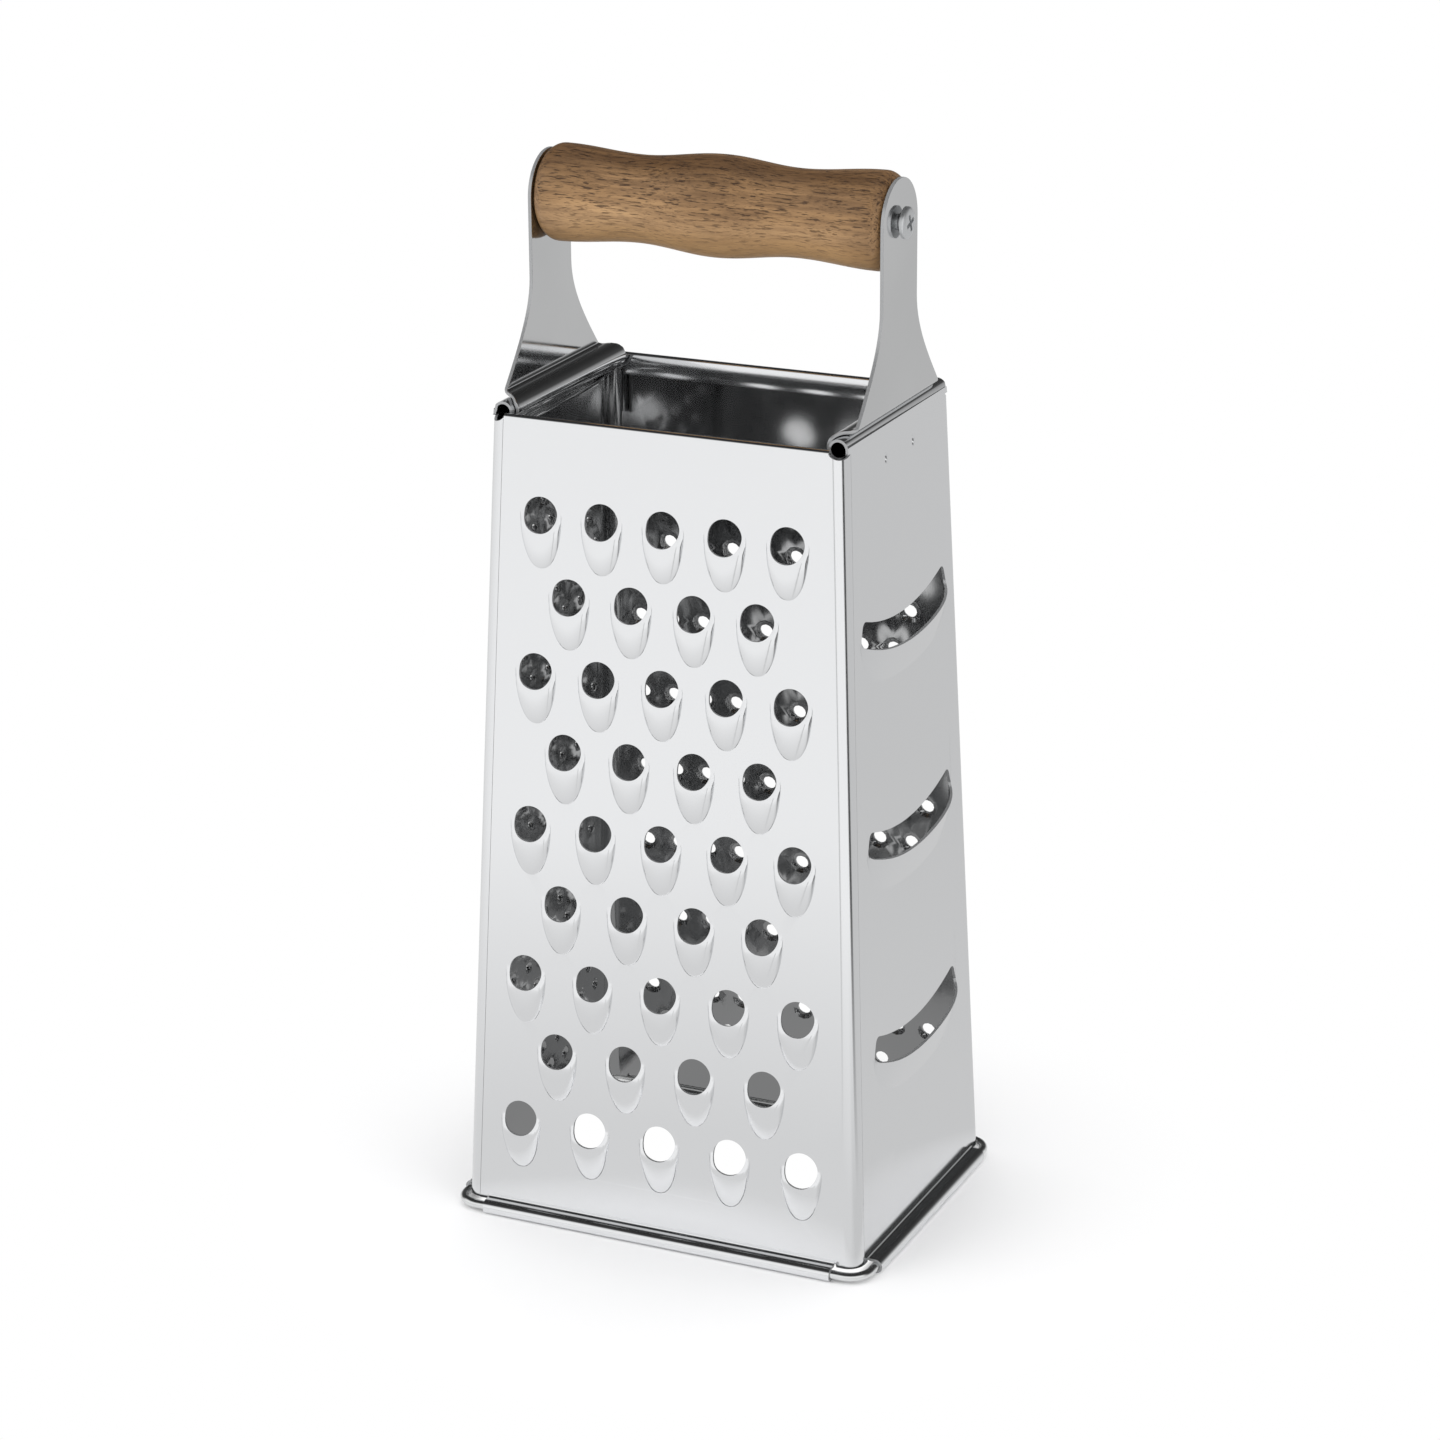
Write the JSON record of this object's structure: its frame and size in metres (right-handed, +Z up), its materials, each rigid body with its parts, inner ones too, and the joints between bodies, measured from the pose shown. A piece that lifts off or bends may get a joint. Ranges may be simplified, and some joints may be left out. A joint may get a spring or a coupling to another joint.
{
  "type": "cheese grater",
  "caption": "Four-sided tapered steel box grater with coarse, medium and fine punched sides, a slicing side, a wired foot and a turned wooden grip on two sheet brackets.",
  "frame": {"origin": "middle of the footprint on the surface the grater stands on", "axes": "+Z up, +X along the grip towards the slicing side, -Y out of the coarse side"},
  "size_m": [0.1052, 0.0822, 0.2427],
  "materials": {
    "polished_sheet": "mirror-polished stainless sheet",
    "wire": "bright drawn stainless wire",
    "bracket_sheet": "satin stainless sheet",
    "grip_wood": "oiled warm brown hardwood",
    "screw_steel": "plain steel pan head"
  },
  "bodies": {
    "body": {"front_panel": "polished_sheet", "right_panel": "polished_sheet", "back_panel": "polished_sheet", "left_panel": "polished_sheet", "base_wire": "wire", "right_bracket": "bracket_sheet", "left_bracket": "bracket_sheet"},
    "grip": {"grip": "grip_wood", "right_screw": "screw_steel", "left_screw": "screw_steel"}
  },
  "joints": [
    {"name": "grip_turn", "type": "hinge", "parent": "body", "child": "grip", "pos_m": [0, 0, 0.2315], "axis": [1, 0, 0], "continuous": true}
  ]
}
